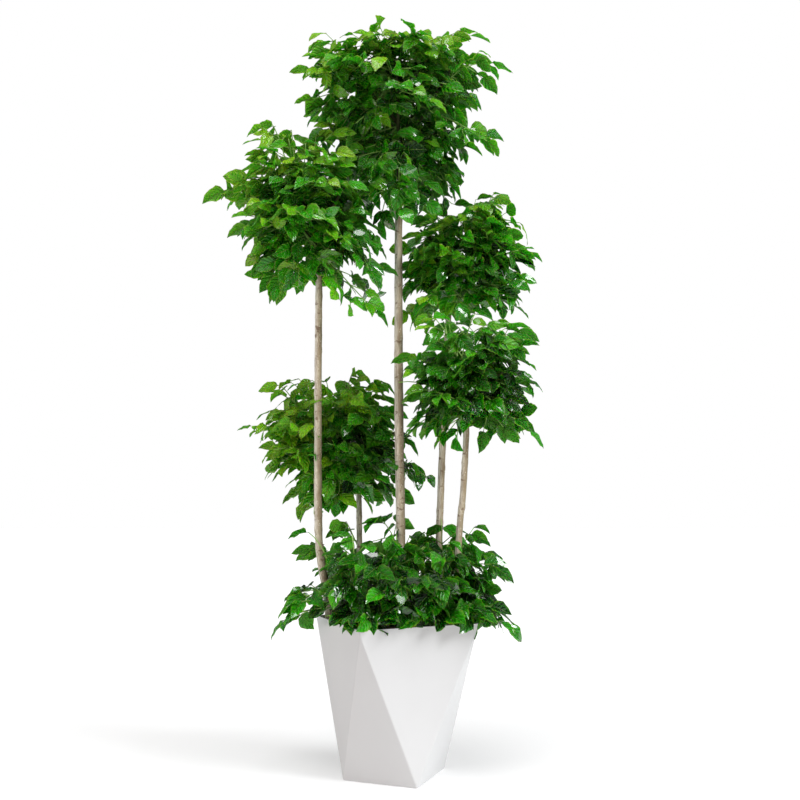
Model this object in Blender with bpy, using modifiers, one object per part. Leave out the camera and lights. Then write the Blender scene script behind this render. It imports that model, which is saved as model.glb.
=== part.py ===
"""Potted china doll plant: five bare stems with leafy heads and low leafy shoots in a faceted planter.

Metres, +Z up. The origin is the middle of the planter's underside, and the front looks along -Y.
"""
import math
import random
from collections import namedtuple

import bmesh
import bpy
from mathutils import Matrix, Vector
from mathutils.bvhtree import BVHTree

OBJECT_NAME = "china_doll_plant"
UP = Vector((0.0, 0.0, 1.0))
GAP = 0.0003

# Planter: a square rim over a square base that is turned 45 degrees against it
POT_HEIGHT = 0.350
POT_RIM_SIDE = 0.290
POT_BASE_SIDE = 0.183
POT_TURN = math.radians(23.3)
POT_WALL = 0.0065
POT_FLOOR = 0.012
POT_ROUNDING = 0.004

# Soil: its top lies this far below the rim
SOIL_DROP = 0.030
SOIL_TOP = POT_HEIGHT - SOIL_DROP
SOIL_SIDE_GAP = 0.0005
SOIL_HEAP = 0.010
SOIL_HEAP_SHARE = 0.6
LID_LIFT = 0.02
HOLE_LIFT = 0.03

# Woody stems: thickness at the foot and at the fork, and the route from the soil to the fork
Stem = namedtuple("Stem", "name foot_radius top_radius buried route")
STEMS = [
    Stem("stem_top", 0.0105, 0.0085, (0.015, 0.020, 0.17),
         [(0.015, 0.020), (0.014, 0.020, 0.58), (0.010, 0.020, 0.84), (0.009, 0.021, 1.10),
          (0.009, 0.024, 1.32), (0.010, 0.030, 1.40)]),
    Stem("stem_left", 0.0100, 0.0080, (-0.128, 0.050, 0.235),
         [(-0.156, 0.060), (-0.167, 0.056, 0.425), (-0.178, 0.049, 0.49), (-0.184, 0.038, 0.56),
          (-0.184, 0.000, 0.77), (-0.182, -0.030, 1.00), (-0.180, -0.050, 1.17), (-0.183, -0.054, 1.22)]),
    Stem("stem_right_upper", 0.0085, 0.0070, (0.096, 0.072, 0.21),
         [(0.101, 0.079), (0.110, 0.088, 0.58), (0.119, 0.090, 0.80), (0.128, 0.090, 1.00),
          (0.137, 0.090, 1.15)]),
    Stem("stem_right_lower", 0.0085, 0.0070, (0.130, -0.028, 0.21),
         [(0.138, -0.030), (0.153, -0.035, 0.58), (0.160, -0.041, 0.65), (0.167, -0.050, 0.77),
          (0.168, -0.056, 0.82)]),
    Stem("stem_left_lower", 0.0080, 0.0065, (-0.084, 0.070, 0.22),
         [(-0.088, 0.078), (-0.087, 0.090, 0.50), (-0.088, 0.100, 0.56), (-0.090, 0.112, 0.67)]),
]

# Leafy heads: middle, half size along X, Y, up and down, fullness above and below, lean of the lower half,
# leaves spread over the form, limbs, lowest angle, seed, and the tips of the leaves that stand out
Crown = namedtuple("Crown", "name stem centre reach powers lean leaves limbs lowest seed tips")
CROWNS = [
    Crown("crown_top", "stem_top", (0.004, 0.030, 1.690),
          (0.270, 0.245, 0.106, 0.500), (2.3, 1.8), 0.00, 16, 5, 146, 11,
          ((0.280, 0.000, 1.701), (0.228, 0.050, 1.792), (0.260, -0.060, 1.466), (-0.255, 0.000, 1.684),
           (-0.242, -0.050, 1.581), (-0.219, 0.060, 1.781), (-0.072, 0.020, 1.811), (-0.010, 0.030, 1.812),
           (0.038, 0.080, 1.828), (0.109, 0.100, 1.797), (0.173, 0.000, 1.414), (0.155, 0.030, 1.373),
           (0.107, 0.050, 1.353), (-0.045, -0.030, 1.274), (0.027, -0.060, 1.306))),
    Crown("crown_left", "stem_left", (-0.222, -0.040, 1.345),
          (0.226, 0.205, 0.212, 0.285), (1.6, 1.9), -0.20, 8, 4, 146, 23,
          ((-0.450, -0.050, 1.364), (-0.315, -0.040, 1.565), (-0.393, -0.060, 1.268), (-0.307, -0.030, 1.105),
           (-0.224, -0.060, 1.138), (-0.106, -0.040, 1.127), (-0.016, -0.080, 1.050), (0.001, -0.020, 1.140),
           (-0.002, -0.030, 1.216), (-0.026, -0.040, 1.262), (-0.188, 0.000, 1.551), (-0.259, 0.030, 1.566),
           (-0.358, -0.080, 1.187), (-0.195, -0.235, 1.282))),
    Crown("crown_right_upper", "stem_right_upper", (0.172, 0.090, 1.235),
          (0.212, 0.180, 0.205, 0.230), (2.1, 2.2), 0.00, 5, 3, 145, 37,
          ((0.377, 0.080, 1.238), (0.359, 0.090, 1.322), (0.267, 0.120, 1.411), (0.210, 0.100, 1.409),
           (0.152, 0.060, 1.365), (0.326, 0.060, 1.089), (-0.007, 0.060, 1.254), (0.003, 0.060, 1.174),
           (-0.002, 0.030, 1.065))),
    Crown("crown_right_lower", "stem_right_lower", (0.184, -0.070, 0.905),
          (0.182, 0.170, 0.230, 0.165), (2.1, 2.3), 0.00, 5, 3, 145, 41,
          ((0.356, -0.060, 0.784), (0.363, -0.090, 0.899), (0.313, -0.050, 1.047), (0.287, -0.030, 0.776),
           (0.086, -0.090, 0.757), (0.017, -0.060, 0.789), (-0.038, -0.100, 0.898), (0.013, -0.060, 0.986),
           (0.201, -0.060, 1.093), (0.263, -0.030, 1.076))),
    Crown("crown_left_lower", "stem_left_lower", (-0.144, 0.120, 0.790),
          (0.238, 0.195, 0.218, 0.262), (2.1, 2.2), -0.14, 6, 4, 140, 53,
          ((-0.406, 0.120, 0.810), (-0.317, 0.140, 0.935), (-0.349, 0.140, 0.867), (-0.337, 0.080, 0.690),
           (-0.235, 0.100, 0.592), (-0.142, 0.040, 0.613), (-0.051, 0.060, 0.613), (0.032, 0.070, 0.634),
           (0.117, 0.100, 0.668), (-0.096, 0.120, 0.976), (-0.023, 0.120, 0.951))),
]

# Low shoots: foot on the soil, top, and the bush that their leaves fill together
SHOOT_RADIUS = 0.0035
SHOOT_BURIED = 0.060
SHOOT_SHARING = 0.02
SHOOTS = [
    ((-0.075, -0.105), (-0.110, -0.120, 0.415)),
    ((0.005, -0.100), (0.010, -0.130, 0.430)),
    ((0.085, -0.055), (0.120, -0.110, 0.425)),
    ((0.100, 0.030), (0.165, 0.030, 0.430)),
    ((0.040, 0.105), (0.060, 0.140, 0.440)),
    ((-0.045, 0.120), (-0.080, 0.160, 0.420)),
    ((-0.110, 0.000), (-0.150, -0.020, 0.430)),
]
BUSH = Crown("low_shoot", "", (0.003, 0.000, 0.400),
             (0.272, 0.240, 0.240, 0.170), (2.2, 2.3), 0.00, 10, 0, 112, 67,
             ((-0.305, -0.030, 0.332), (-0.258, 0.000, 0.416), (-0.233, 0.050, 0.569), (-0.142, 0.040, 0.592),
              (-0.055, 0.040, 0.604), (0.003, 0.000, 0.572), (0.110, 0.050, 0.613), (0.134, -0.090, 0.565),
              (0.212, 0.050, 0.589), (0.255, 0.050, 0.519), (0.255, 0.000, 0.475), (0.280, -0.020, 0.367),
              (0.309, -0.030, 0.322), (0.017, -0.230, 0.458)))

# Compound leaf: a long stalk, two pairs of leaflets and one at the tip
LEAFLET_SHARE = 0.42
LEAFLET_MIN = 0.056
LEAFLET_MAX = 0.094
LEAFLET_WIDTH = 0.52
LEAFLET_SPREAD = math.radians(58)
LEAFLET_DROOP = 0.30
LEAFLET_RIDGE = 0.0035
LEAFLET_SECTIONS = ((0.34, 0.50), (0.70, 0.34))
SIDE_LEAFLET = 0.92
PAIR_AT = (1.80, 1.27)
STALK_FOOT = 0.0022
STALK_TIP = 0.0014
NODE_LENGTH = 0.006
LEAF_ARCH = (0.20, 0.34)
LEAF_LEAN = 0.42
LEAF_CLIMB = 0.72
HIGHEST = 0.93
LEAF_ROLL = math.radians(24)
LEAF_FILL = (0.86, 1.06)
LEAF_JITTER = 0.3
LEAF_SINK = 0.5
LEAF_SPAN = 0.185
LEAF_SPAN_MIN = 0.135
SHORT_PENALTY = 3.0
LEAF_TRIES = 40
CLEARANCE = 0.0015
GOLDEN_ANGLE = math.pi * (3.0 - math.sqrt(5.0))

# Limbs inside a head
LIMB_FOOT = 0.0050
LIMB_TIP = 0.0028
LEADER_REACH = 0.30
LEADER_FOOT = 0.010
LIMB_FIRST = 0.12
LIMB_RANGE = 0.5
LIMB_REACH = 0.55
LIMB_LIFTS = (-0.10, 0.125, 0.35)
LIMB_ARCH = 0.015


def clear_scene():
    for old in list(bpy.data.objects):
        bpy.data.objects.remove(old, do_unlink=True)


def new_collection(name):
    collection = bpy.data.collections.new(name)
    bpy.context.scene.collection.children.link(collection)
    return collection


def make_material(name, colour, roughness):
    material = bpy.data.materials.new(name)
    material.use_nodes = True
    shader = material.node_tree.nodes["Principled BSDF"]
    shader.inputs["Base Color"].default_value = (*colour, 1.0)
    shader.inputs["Roughness"].default_value = roughness
    shader.inputs["Metallic"].default_value = 0.0
    return material


def object_from_bmesh(name, bm, collection, material=None):
    bmesh.ops.recalc_face_normals(bm, faces=bm.faces)
    mesh = bpy.data.meshes.new(name)
    bm.to_mesh(mesh)
    bm.free()
    piece = bpy.data.objects.new(name, mesh)
    collection.objects.link(piece)
    if material:
        mesh.materials.append(material)
    return piece


def as_cutter(piece):
    piece.hide_render = True
    piece.display_type = "WIRE"
    return piece


def evaluated_mesh(piece):
    """The piece's mesh with its modifiers applied."""
    depsgraph = bpy.context.evaluated_depsgraph_get()
    return bpy.data.meshes.new_from_object(piece.evaluated_get(depsgraph), depsgraph=depsgraph)


def add_boolean(piece, operation, solver, cutter=None, collection=None):
    boolean = piece.modifiers.new(operation.title(), "BOOLEAN")
    boolean.operation = operation
    boolean.solver = solver
    if collection:
        boolean.operand_type = "COLLECTION"
        boolean.collection = collection
    else:
        boolean.object = cutter
    return boolean


# Planter and soil

def planter_form(rim_side, base_side, low, high):
    """A four-sided frustum whose top is turned 45 degrees, so each side folds into two triangles."""
    bm = bmesh.new()
    bmesh.ops.create_cone(bm, cap_ends=True, segments=4, radius1=base_side / math.sqrt(2.0),
                          radius2=rim_side / math.sqrt(2.0), depth=high - low)
    bmesh.ops.translate(bm, verts=bm.verts, vec=(0.0, 0.0, (low + high) / 2.0))
    rim = [vert for vert in bm.verts if vert.co.z > (low + high) / 2.0]
    columns = {vert: next(edge.other_vert(vert) for edge in vert.link_edges
                          if edge.other_vert(vert) not in rim) for vert in rim}
    bmesh.ops.rotate(bm, verts=rim, cent=(0, 0, 0), matrix=Matrix.Rotation(math.radians(45), 3, "Z"))
    for face in [face for face in bm.faces if abs(face.normal.z) < 0.9]:
        split_side(face, rim, columns)
    bmesh.ops.rotate(bm, verts=bm.verts, cent=(0, 0, 0), matrix=Matrix.Rotation(POT_TURN, 3, "Z"))
    return bm


def split_side(side, rim, columns):
    """Fold a twisted side along its shorter diagonal."""
    top = [vert for vert in side.verts if vert in rim]
    pairs = [(vert, columns[other]) for vert, other in (top, reversed(top))]
    start, end = min(pairs, key=lambda pair: (pair[0].co - pair[1].co).length)
    bmesh.utils.face_split(side, start, end)


def make_pot(parts, cutters, material):
    outside = planter_form(POT_RIM_SIDE, POT_BASE_SIDE, 0.0, POT_HEIGHT)
    pot = object_from_bmesh("pot", outside, parts, material)
    rounding = pot.modifiers.new("Rounded edges", "BEVEL")
    rounding.width = POT_ROUNDING
    rounding.segments = 2
    rounding.limit_method = "ANGLE"
    rounding.angle_limit = math.radians(8)
    inside = planter_form(POT_RIM_SIDE - 2 * POT_WALL, POT_BASE_SIDE - 2 * POT_WALL, POT_FLOOR, POT_HEIGHT)
    rim = [vert for vert in inside.verts if vert.co.z > POT_HEIGHT / 2]
    lid = next(face for face in inside.faces if all(vert in rim for vert in face.verts))
    raised = bmesh.ops.extrude_discrete_faces(inside, faces=[lid])["faces"][0]
    bmesh.ops.translate(inside, verts=raised.verts, vec=(0, 0, LID_LIFT))
    cutter = as_cutter(object_from_bmesh("pot_inside", inside, cutters))
    add_boolean(pot, "DIFFERENCE", "EXACT", cutter)


def make_soil(parts, cutters, holes, material):
    """Fill the planter to below its rim, with a low heap in the middle and a hole for each stem."""
    trim = 2 * (POT_WALL + SOIL_SIDE_GAP)
    bm = planter_form(POT_RIM_SIDE - trim, POT_BASE_SIDE - trim, POT_FLOOR + GAP, POT_HEIGHT)
    cut = bmesh.ops.bisect_plane(bm, geom=bm.verts[:] + bm.edges[:] + bm.faces[:], dist=1e-7,
                                 plane_co=(0, 0, SOIL_TOP), plane_no=UP, clear_outer=True)
    rim_edges = [item for item in cut["geom_cut"] if isinstance(item, bmesh.types.BMEdge)]
    top = bmesh.ops.contextual_create(bm, geom=rim_edges)["faces"][0]
    heap = bmesh.ops.extrude_discrete_faces(bm, faces=[top])["faces"][0]
    bmesh.ops.scale(bm, verts=heap.verts, vec=(SOIL_HEAP_SHARE, SOIL_HEAP_SHARE, 1.0))
    bmesh.ops.translate(bm, verts=heap.verts, vec=(0, 0, SOIL_HEAP))
    soil = object_from_bmesh("soil", bm, parts, material)
    for hole in holes:
        cutters.objects.link(as_cutter(hole))
    for hole in holes:
        add_boolean(soil, "DIFFERENCE", "EXACT", hole)


# Tubes: stems, limbs and shoots

def tube(name, points, radii, resolution):
    """A tapered round bar along the points, as a closed mesh object in no collection yet."""
    curve = bpy.data.curves.new(name, "CURVE")
    curve.dimensions = "3D"
    curve.bevel_depth = 1.0
    curve.bevel_resolution = resolution
    curve.use_fill_caps = True
    spline = curve.splines.new("POLY")
    spline.points.add(len(points) - 1)
    for knot, point, radius in zip(spline.points, points, radii):
        knot.co = (*point, 1.0)
        knot.radius = radius
    drawn = bpy.data.objects.new(name, curve)
    bpy.context.scene.collection.objects.link(drawn)
    mesh = evaluated_mesh(drawn)
    bpy.data.objects.remove(drawn, do_unlink=True)
    bm = bmesh.new()
    bm.from_mesh(mesh)
    bmesh.ops.remove_doubles(bm, verts=bm.verts, dist=1e-5)
    bmesh.ops.recalc_face_normals(bm, faces=bm.faces)
    bm.to_mesh(mesh)
    bm.free()
    return bpy.data.objects.new(name, mesh)


def smooth_route(points, steps):
    """Points on a smooth curve through the given ones."""
    ends = [points[0] * 2 - points[1]] + points + [points[-1] * 2 - points[-2]]
    route = []
    for before, start, end, after in zip(ends, ends[1:], ends[2:], ends[3:]):
        for step in range(steps):
            t = step / steps
            route.append(0.5 * ((2 * start) + (end - before) * t
                                + (2 * before - 5 * start + 4 * end - after) * t ** 2
                                + (3 * start - before - 3 * end + after) * t ** 3))
    return route + [points[-1]]


def stem_route(stem):
    foot = Vector((*stem.route[0], SOIL_TOP + SOIL_HEAP))
    above = [foot] + [Vector(point) for point in stem.route[1:]]
    return [Vector(stem.buried)] + smooth_route(above, 2)


def fork_of(name):
    """The end of a stem's route, and its direction there."""
    route = stem_route(next(stem for stem in STEMS if stem.name == name))
    return route[-1], (route[-1] - route[-2]).normalized()


def make_stem(stem, parts, material):
    route = stem_route(stem)
    shares = [max(0.0, point.z - SOIL_TOP) / (route[-1].z - SOIL_TOP) for point in route]
    radii = [stem.foot_radius + (stem.top_radius - stem.foot_radius) * share for share in shares]
    radii[1] = stem.foot_radius
    piece = tube(stem.name, route, radii, 2)
    parts.objects.link(piece)
    piece.data.materials.append(material)
    piece.data.shade_smooth()
    piece.data.set_sharp_from_angle(angle=math.radians(50))
    return piece


def hole_cutter(name, buried, foot, radius):
    """A straight hole along a stem's buried length, GAP wider than the stem and GAP deeper."""
    along = (foot - buried).normalized()
    return tube(name, [buried - along * GAP, foot + along * HOLE_LIFT], [radius + GAP] * 2, 2)


# Compound leaves

def arch(start, bend, end, share):
    return start * (1 - share) ** 2 + bend * 2 * share * (1 - share) + end * share ** 2


def arch_bend(start, end, rise):
    """The middle knot of a leaf's arch: it leaves steeply, leans outwards and ends drooping."""
    chord = end - start
    flat = Vector((chord.x, chord.y, 0.0))
    lift = rise * (0.4 * chord.length + 0.6 * flat.length)
    return start + flat * LEAF_LEAN + UP * (chord.z * LEAF_CLIMB + lift)


def arch_direction(start, bend, end, share):
    return ((bend - start) * (1 - share) + (end - bend) * share).normalized()


def pull(bm, corners, points):
    """Extrude the face on three corners to three points and return the new corners in the same order."""
    face = bm.faces.get(corners)
    places = [list(face.verts).index(corner) for corner in corners]
    moved = bmesh.ops.extrude_discrete_faces(bm, faces=[face])["faces"][0]
    pulled = [moved.verts[place] for place in places]
    for corner, point in zip(pulled, points):
        corner.co = point
    return pulled


def grow_leaflet(bm, corners, base, along, normal, length):
    """A pointed blade with a raised midrib, grown from the face on the corners (ridge, edge, edge)."""
    across = along.cross(normal).normalized()
    if (corners[1].co - corners[2].co).dot(across) < 0:
        across = -across
    for share, half_width in LEAFLET_SECTIONS:
        middle = base + along * length * share - UP * LEAFLET_DROOP * length * share ** 2
        reach = across * half_width * LEAFLET_WIDTH * length
        ridge = middle + normal * LEAFLET_RIDGE * 2 * half_width
        corners = pull(bm, corners, (ridge, middle + reach, middle - reach))
    tip = bmesh.ops.poke(bm, faces=[bm.faces.get(corners)])["verts"][0]
    tip.co = base + along * length - UP * LEAFLET_DROOP * length


def leaf_mesh(leaf):
    """One compound leaf as a closed mesh: a three-sided stalk with its leaflets drawn out of its sides."""
    attach, target, azimuth, roll, rise = leaf
    span = (target - attach).length
    length = min(max(span * LEAFLET_SHARE, LEAFLET_MIN), LEAFLET_MAX, span / 2)
    bend = arch_bend(attach, target, rise)
    side = Vector((-math.sin(azimuth), math.cos(azimuth), 0.0))

    def station(distance):
        share = distance / span
        along = arch_direction(attach, bend, target, share)
        level = (side - along * side.dot(along)).normalized()
        normal = along.cross(level)
        turn = Matrix.Rotation(roll, 3, along)
        return arch(attach, bend, target, share), along, turn @ level, turn @ normal

    def ring(distance):
        centre, _, level, normal = station(distance)
        radius = STALK_FOOT + (STALK_TIP - STALK_FOOT) * distance / span
        return [centre + (normal * math.cos(turn) + level * math.sin(turn)) * radius
                for turn in (0.0, math.radians(120), math.radians(240))]

    bm = bmesh.new()
    bmesh.ops.create_cone(bm, cap_ends=True, segments=3, radius1=1.0, radius2=1.0, depth=1.0)
    foot = [vert for vert in bm.verts if vert.co.z < 0]
    foot.sort(key=lambda vert: math.atan2(vert.co.y, vert.co.x))
    head = [next(edge.other_vert(vert) for edge in vert.link_edges if edge.other_vert(vert) not in foot)
            for vert in foot]
    nodes = [span - length * back for back in PAIR_AT]
    for corner, point in zip(foot + head, ring(0.0) + ring(nodes[0] - NODE_LENGTH / 2)):
        corner.co = point
    for node in nodes:
        rear = head if node == nodes[0] else pull(bm, head, ring(node - NODE_LENGTH / 2))
        head = pull(bm, rear, ring(node + NODE_LENGTH / 2))
        centre, along, level, normal = station(node)
        for edge, hand in ((1, 1), (2, -1)):
            quad = bm.faces.get((rear[0], rear[edge], head[edge], head[0]))
            bmesh.utils.face_split(quad, rear[0], head[edge])
            outward = along * math.cos(LEAFLET_SPREAD) + level * hand * math.sin(LEAFLET_SPREAD)
            grow_leaflet(bm, [rear[0], rear[edge], head[edge]], centre, outward, normal,
                         length * SIDE_LEAFLET)
    head = pull(bm, head, ring(span - length))
    _, along, _, normal = station(span - length)
    grow_leaflet(bm, head, ring_centre(head), along, normal, length)
    bmesh.ops.recalc_face_normals(bm, faces=bm.faces)
    if bm.calc_volume(signed=True) < 0.0:
        bmesh.ops.reverse_faces(bm, faces=bm.faces)
    return bm


def ring_centre(corners):
    return sum((corner.co for corner in corners), Vector()) / len(corners)


def leaf_target(crown, index, draw):
    """Where a leaf's tip goes: first the tips that stand out, then golden-angle places over the form."""
    centre = Vector(crown.centre)
    if index < len(crown.tips):
        tip = Vector(crown.tips[index])
        return tip, math.atan2(tip.y - centre.y, tip.x - centre.x)
    index -= len(crown.tips)
    wide, deep, high, low = crown.reach
    share = (index + 0.5) / crown.leaves
    upper = (high + wide) / (high + low + 2.0 * wide)
    if share < upper:
        height, scale, power = HIGHEST * (1.0 - share / upper), high, crown.powers[0]
    else:
        height = math.cos(math.radians(crown.lowest)) * (share - upper) / (1.0 - upper)
        scale, power = low, crown.powers[1]
    azimuth = index * GOLDEN_ANGLE + crown.seed + draw.uniform(-LEAF_JITTER, LEAF_JITTER)
    flat = (1.0 - abs(height) ** power) ** (1.0 / power)
    fill = draw.uniform(*LEAF_FILL)
    rise = height * scale
    across = math.cos(azimuth) * flat * wide + crown.lean * min(rise, 0.0)
    return centre + Vector((across, math.sin(azimuth) * flat * deep, rise)) * fill, azimuth


def draw_leaf(crown, index, attempt, knots):
    """One leaf of a head as (attach point, tip, azimuth, roll, rise); each attempt draws another."""
    draw = random.Random(crown.seed * 10000 + index * 100 + attempt)
    target, azimuth = leaf_target(crown, index, draw)
    inward = (Vector(crown.centre) - target).normalized()
    wanted = target + inward * LEAF_SPAN - UP * LEAF_SPAN * draw.uniform(0.0, LEAF_SINK)
    attach = min(knots, key=lambda knot: (knot - wanted).length
                 + SHORT_PENALTY * max(0.0, LEAF_SPAN_MIN - (knot - target).length))
    return attach, target, azimuth, draw.uniform(-LEAF_ROLL, LEAF_ROLL), draw.uniform(*LEAF_ARCH)


def inflated_tree(bm):
    """A search tree of the leaf grown outwards by the clearance that it keeps to other pieces."""
    grown = bm.copy()
    grown.normal_update()
    for vert in grown.verts:
        vert.co += vert.normal * CLEARANCE
    tree = BVHTree.FromBMesh(grown)
    grown.free()
    return tree


def clear_leaf(crown, index, knots, obstacles, own_leaves):
    """The draw that clears every other piece and crosses the fewest leaves of its own head."""
    best = None
    for attempt in range(LEAF_TRIES):
        bm = leaf_mesh(draw_leaf(crown, index, attempt, knots))
        grown = inflated_tree(bm)
        if any(grown.overlap(obstacle) for obstacle in obstacles):
            bm.free()
            continue
        tree = BVHTree.FromBMesh(bm)
        crossings = sum(len(tree.overlap(other)) for other in own_leaves)
        if best is None or crossings < best[0]:
            best = (crossings, bm, tree)
        if crossings == 0:
            break
    return best


# Heads and shoots

def limb_routes(crown):
    """The leader from the fork up through the head, and the limbs that leave it."""
    end, along = fork_of(crown.stem)
    fork = end + along * GAP
    centre = Vector(crown.centre)
    wide, deep, high, _ = crown.reach
    crest = centre + UP * high * LEADER_REACH
    bend = Vector((fork.x, fork.y, (fork.z + crest.z) / 2))
    leader = [fork, fork + along * LEADER_FOOT] + [arch(fork, bend, crest, step / 4) for step in range(1, 5)]
    limbs = []
    for index in range(crown.limbs):
        azimuth = index * 2 * math.pi / crown.limbs + crown.seed
        start = arch(fork, bend, crest, LIMB_FIRST + LIMB_RANGE * index / crown.limbs)
        lift = LIMB_LIFTS[index % 3]
        out = Vector((math.cos(azimuth) * wide, math.sin(azimuth) * deep, 0.0)) * LIMB_REACH
        end = centre + out + UP * high * lift
        elbow = start + (end - start) * 0.5 + UP * LIMB_ARCH
        limbs.append([arch(start, elbow, end, step / 3) for step in range(4)])
    return leader, limbs


def taper(count, foot, tip):
    return [foot + (tip - foot) * step / (count - 1) for step in range(count)]


def knots_along(route, skip):
    """Places where a leaf can grow: the route's points and the middles between them, past its foot."""
    middles = [(start + end) / 2 for start, end in zip(route, route[1:])]
    return sorted(route + middles, key=lambda point: (point - route[0]).length)[skip:]


def join_body(base, members, parts, material):
    """Fuse the members into the base, drop scraps and sealed hollows, and keep one body."""
    group = new_collection(base.name + "_members")
    parts.objects.link(base)
    for member in members:
        group.objects.link(member)
    add_boolean(base, "UNION", "MANIFOLD", collection=group)
    mesh = evaluated_mesh(base)
    for member in members:
        bpy.data.objects.remove(member, do_unlink=True)
    bpy.data.collections.remove(group)
    base.modifiers.clear()
    base.data = mesh
    keep_largest_shell(mesh)
    mesh.materials.clear()
    mesh.materials.append(material)


def shell_of(face, seen):
    shell, queue = [], [face]
    seen.add(face)
    while queue:
        current = queue.pop()
        shell.append(current)
        for edge in current.edges:
            for other in edge.link_faces:
                if other not in seen:
                    seen.add(other)
                    queue.append(other)
    return shell


def keep_largest_shell(mesh):
    bm = bmesh.new()
    bm.from_mesh(mesh)
    seen = set()
    shells = [shell_of(face, seen) for face in bm.faces if face not in seen]
    shells.sort(key=len)
    for shell in shells[:-1]:
        bmesh.ops.delete(bm, geom=shell, context="FACES")
    loose = [vert for vert in bm.verts if not vert.link_faces]
    bmesh.ops.delete(bm, geom=loose, context="VERTS")
    bmesh.ops.triangulate(bm, faces=bm.faces)
    bm.to_mesh(mesh)
    bm.free()


def leaf_object(name, bm):
    mesh = bpy.data.meshes.new(name)
    bm.to_mesh(mesh)
    bm.free()
    return bpy.data.objects.new(name, mesh)


def mesh_tree(mesh):
    bm = bmesh.new()
    bm.from_mesh(mesh)
    tree = BVHTree.FromBMesh(bm)
    bm.free()
    return tree


def make_crown(crown, parts, material, obstacles):
    leader, limbs = limb_routes(crown)
    base = tube(crown.name, leader, taper(len(leader), LIMB_FOOT * 1.2, LIMB_TIP), 1)
    members = [tube(crown.name + "_limb", limb, taper(len(limb), LIMB_FOOT, LIMB_TIP), 0) for limb in limbs]
    knots = [knot for limb in limbs for knot in knots_along(limb, 2)] + knots_along(leader, 6)
    trees = []
    for index in range(len(crown.tips) + crown.leaves):
        found = clear_leaf(crown, index, knots, obstacles, trees)
        if found:
            members.append(leaf_object(crown.name + "_leaf", found[1]))
            trees.append(found[2])
    join_body(base, members, parts, material)
    return trees


def shoot_route(shoot):
    (foot_x, foot_y), top = shoot
    foot = Vector((foot_x, foot_y, SOIL_TOP + SOIL_HEAP))
    top = Vector(top)
    elbow = Vector((foot.x, foot.y, (foot.z + top.z) / 2))
    return [foot - UP * SHOOT_BURIED] + [arch(foot, elbow, top, step / 3) for step in range(4)]


def make_shoots(parts, material, obstacles):
    """Grow the bush's leaves from the nearest shoot, and keep each shoot clear of its neighbours."""
    routes = [shoot_route(shoot) for shoot in SHOOTS]
    stalks = [tube("%s_%d" % (BUSH.name, number), route, [SHOOT_RADIUS] * len(route), 1)
              for number, route in enumerate(routes, 1)]
    stalk_trees = [mesh_tree(stalk.data) for stalk in stalks]
    members = [[] for _ in routes]
    trees = [[] for _ in routes]
    for index in range(len(BUSH.tips) + BUSH.leaves):
        target, _ = leaf_target(BUSH, index, random.Random(BUSH.seed))
        owner = min(range(len(routes)), key=lambda number: (routes[number][-1] - target).length
                    + SHOOT_SHARING * len(members[number]))
        others = [tree for number, group in enumerate(trees) if number != owner for tree in group]
        others += [tree for number, tree in enumerate(stalk_trees) if number != owner]
        knots = routes[owner][3:] + [(routes[owner][2] + routes[owner][3]) / 2]
        found = clear_leaf(BUSH, index, knots, obstacles + others, trees[owner])
        if found:
            members[owner].append(leaf_object(BUSH.name + "_leaf", found[1]))
            trees[owner].append(found[2])
    for stalk, group in zip(stalks, members):
        join_body(stalk, group, parts, material)


def main():
    clear_scene()
    parts = new_collection(OBJECT_NAME)
    cutters = new_collection(OBJECT_NAME + "_cutters")
    white = make_material("white_plastic", (0.86, 0.86, 0.85), 0.38)
    earth = make_material("dark_soil", (0.055, 0.038, 0.026), 0.95)
    bark = make_material("pale_bark", (0.46, 0.40, 0.31), 0.80)
    green = make_material("leaf_green", (0.045, 0.19, 0.018), 0.32)

    make_pot(parts, cutters, white)
    stems = [make_stem(stem, parts, bark) for stem in STEMS]
    holes = [hole_cutter(stem.name + "_hole", Vector(stem.buried), stem_route(stem)[1], stem.foot_radius)
             for stem in STEMS]
    for number, shoot in enumerate(SHOOTS, 1):
        buried, foot = shoot_route(shoot)[:2]
        holes.append(hole_cutter("%s_%d_hole" % (BUSH.name, number), buried, foot, SHOOT_RADIUS))
    make_soil(parts, cutters, holes, earth)

    solids = stems + [bpy.data.objects["pot"], bpy.data.objects["soil"]]
    obstacles = [mesh_tree(evaluated_mesh(piece)) for piece in solids]
    for crown in CROWNS:
        obstacles += make_crown(crown, parts, green, obstacles)
    make_shoots(parts, green, obstacles)


main()
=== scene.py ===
"""Looks of the potted china doll plant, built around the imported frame.

The heads and low shoots grow by the rule of the part's source, with finer compound leaves.
"""

import math
import random
from collections import namedtuple

import bmesh
import bpy
import numpy as np
from mathutils import Matrix, Vector, noise


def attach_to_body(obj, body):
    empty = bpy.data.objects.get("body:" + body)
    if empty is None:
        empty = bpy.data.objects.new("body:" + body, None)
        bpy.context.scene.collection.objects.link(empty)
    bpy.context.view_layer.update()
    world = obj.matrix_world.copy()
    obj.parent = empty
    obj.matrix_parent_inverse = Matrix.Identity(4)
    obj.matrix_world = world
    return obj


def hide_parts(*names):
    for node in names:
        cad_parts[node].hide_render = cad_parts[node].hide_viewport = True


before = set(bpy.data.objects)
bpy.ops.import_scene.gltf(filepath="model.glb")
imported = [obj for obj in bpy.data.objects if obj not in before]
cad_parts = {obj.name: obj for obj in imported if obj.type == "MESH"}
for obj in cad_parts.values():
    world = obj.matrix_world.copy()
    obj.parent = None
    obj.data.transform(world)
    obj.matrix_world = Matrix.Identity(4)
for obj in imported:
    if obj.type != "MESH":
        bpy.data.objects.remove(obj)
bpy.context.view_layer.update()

# Upwards, the gap that touching pieces keep, and the turn from one leaf to the next
UP = Vector((0.0, 0.0, 1.0))
GAP = 0.0003
GOLDEN_ANGLE = math.pi * (3.0 - math.sqrt(5.0))

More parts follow.
